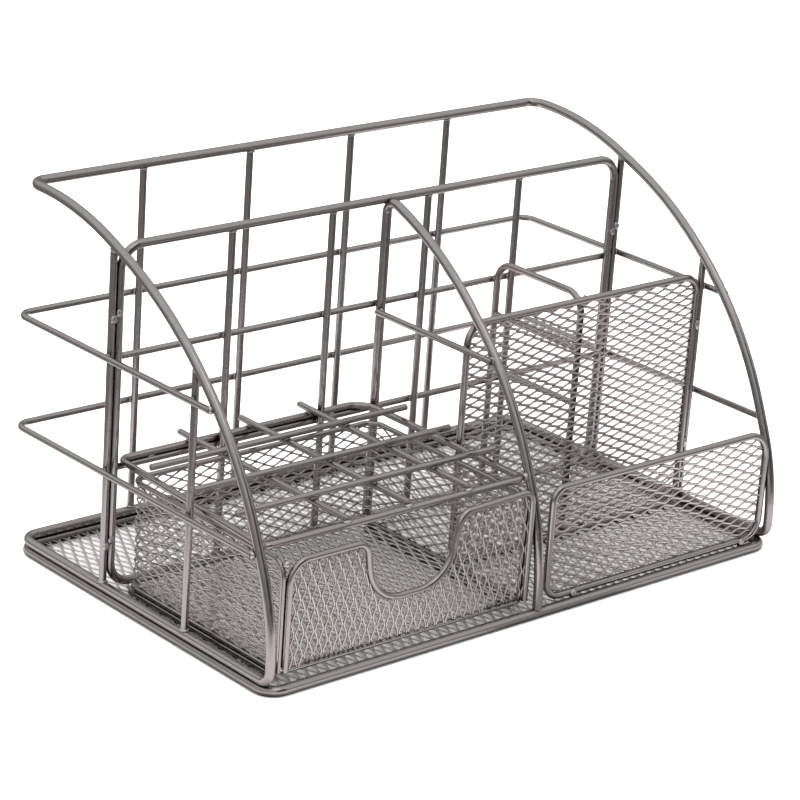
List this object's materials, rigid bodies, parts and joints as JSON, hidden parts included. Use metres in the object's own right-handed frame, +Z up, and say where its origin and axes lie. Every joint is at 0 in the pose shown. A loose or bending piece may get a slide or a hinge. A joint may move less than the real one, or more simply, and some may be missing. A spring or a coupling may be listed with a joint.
{
  "type": "desk organizer",
  "caption": "Wire and mesh desk organizer: curved side arches, a file slot at the back, pen bays, a mesh front tray, and a notched mesh drawer under a wire rack.",
  "frame": {"origin": "centre of the footprint, on the table", "axes": "+X to the organizer's right as its user faces the open front, +Y to the back, +Z up; the open front and the drawer face -Y"},
  "size_m": [0.2264, 0.1379, 0.1297],
  "materials": {
    "thick_wire": "glossy grey metallic coat on steel wire",
    "thin_wire": "glossy grey metallic coat on steel wire",
    "mesh": "glossy grey metallic coat on expanded steel mesh"
  },
  "bodies": {
    "frame": {"base_ring": "thick_wire", "base_mesh": "mesh", "foot_rail": "thick_wire", "main_hoop": "thick_wire", "back_mid_rail": "thin_wire", "back_low_rail": "thin_wire", "back_upright_1": "thin_wire", "back_upright_2": "thin_wire", "back_upright_3": "thin_wire", "back_upright_4": "thin_wire", "left_side_post": "thin_wire", "right_side_post": "thin_wire", "left_short_post": "thin_wire", "right_short_post": "thin_wire", "partition_frame": "thick_wire", "partition_mid_rail": "thin_wire", "partition_low_rail": "thin_wire", "partition_upright_1": "thin_wire", "partition_upright_2": "thin_wire", "partition_upright_3": "thin_wire", "partition_upright_4": "thin_wire", "middle_arch": "thick_wire", "middle_side_rail": "thin_wire", "pen_divider_frame": "thin_wire", "pen_divider_upper_rung": "thin_wire", "pen_divider_lower_rung": "thin_wire", "mesh_divider_frame": "thin_wire", "mesh_divider_mesh": "mesh", "front_panel_frame": "thin_wire", "front_panel_mesh": "mesh", "rack_ring": "thin_wire", "rack_cross_wire_1": "thin_wire", "rack_cross_wire_2": "thin_wire", "rack_cross_wire_3": "thin_wire", "rack_long_wire_1": "thin_wire", "rack_long_wire_2": "thin_wire", "rack_long_wire_3": "thin_wire", "left_runner": "thin_wire", "right_runner": "thin_wire"},
    "drawer": {"drawer_front_rim": "thin_wire", "drawer_side_rim": "thin_wire", "drawer_bottom_rim": "thin_wire", "drawer_floor_mesh": "mesh", "drawer_front_mesh": "mesh", "drawer_left_mesh": "mesh", "drawer_right_mesh": "mesh", "drawer_rear_mesh": "mesh"}
  },
  "joints": [
    {"name": "drawer_slide", "type": "slide", "parent": "frame", "child": "drawer", "axis": [0, -1, 0], "range_m": [0, 0.06]}
  ]
}
